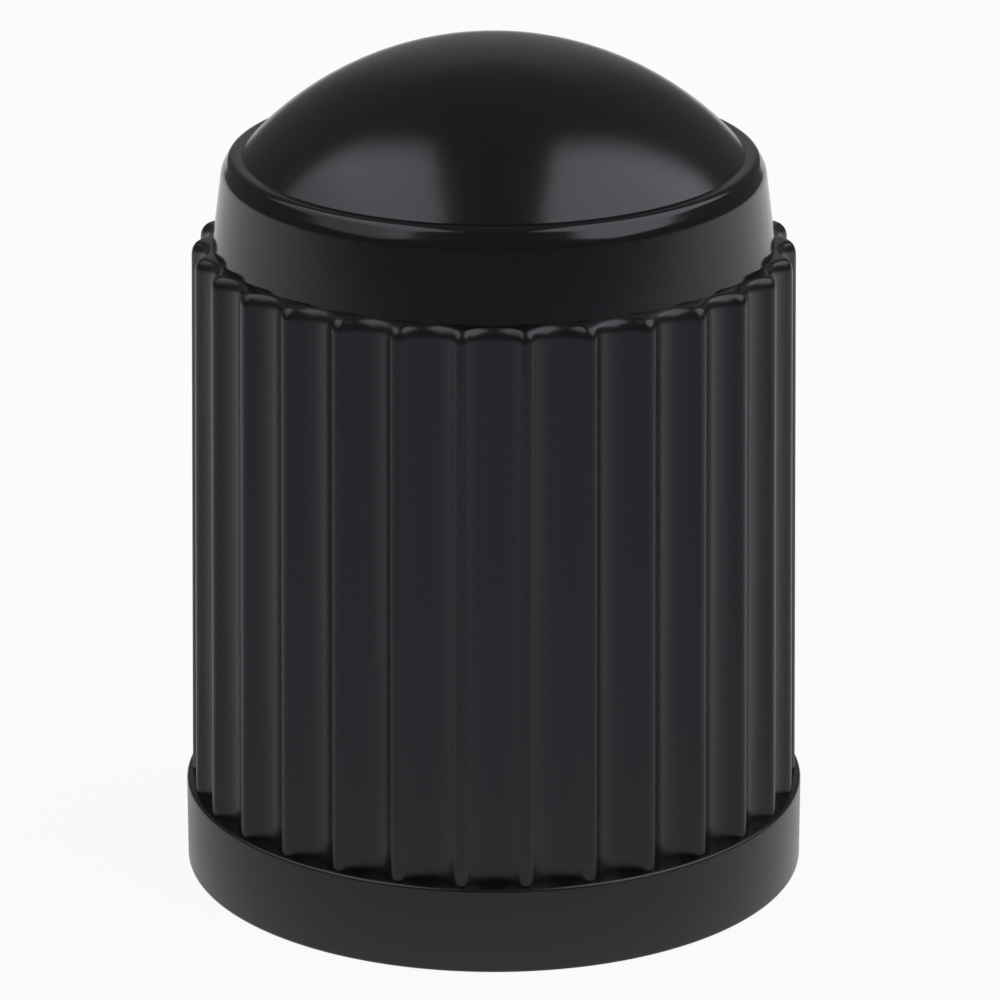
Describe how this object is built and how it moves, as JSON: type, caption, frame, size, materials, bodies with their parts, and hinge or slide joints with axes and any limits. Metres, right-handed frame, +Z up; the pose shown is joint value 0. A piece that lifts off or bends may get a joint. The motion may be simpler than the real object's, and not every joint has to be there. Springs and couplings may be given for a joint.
{
  "type": "tyre valve cap",
  "caption": "Plastic tyre valve cap: a domed crown over a tapered collar, a ribbed grip and a base ring, with a blind threaded bore that screws onto a valve stem.",
  "frame": {"origin": "centre of the open mouth, in the plane of the face that the cap stands on", "axes": "+Z up the cap's axis from the mouth to the dome; -Y faces the viewer of the picture, with a groove between two ribs there"},
  "size_m": [0.011, 0.011, 0.015],
  "materials": {
    "black_plastic": "black moulded plastic, glossy on the dome and satin on the collar, ribs and base ring"
  },
  "bodies": {
    "root": {"valve_cap": "black_plastic"}
  },
  "joints": []
}
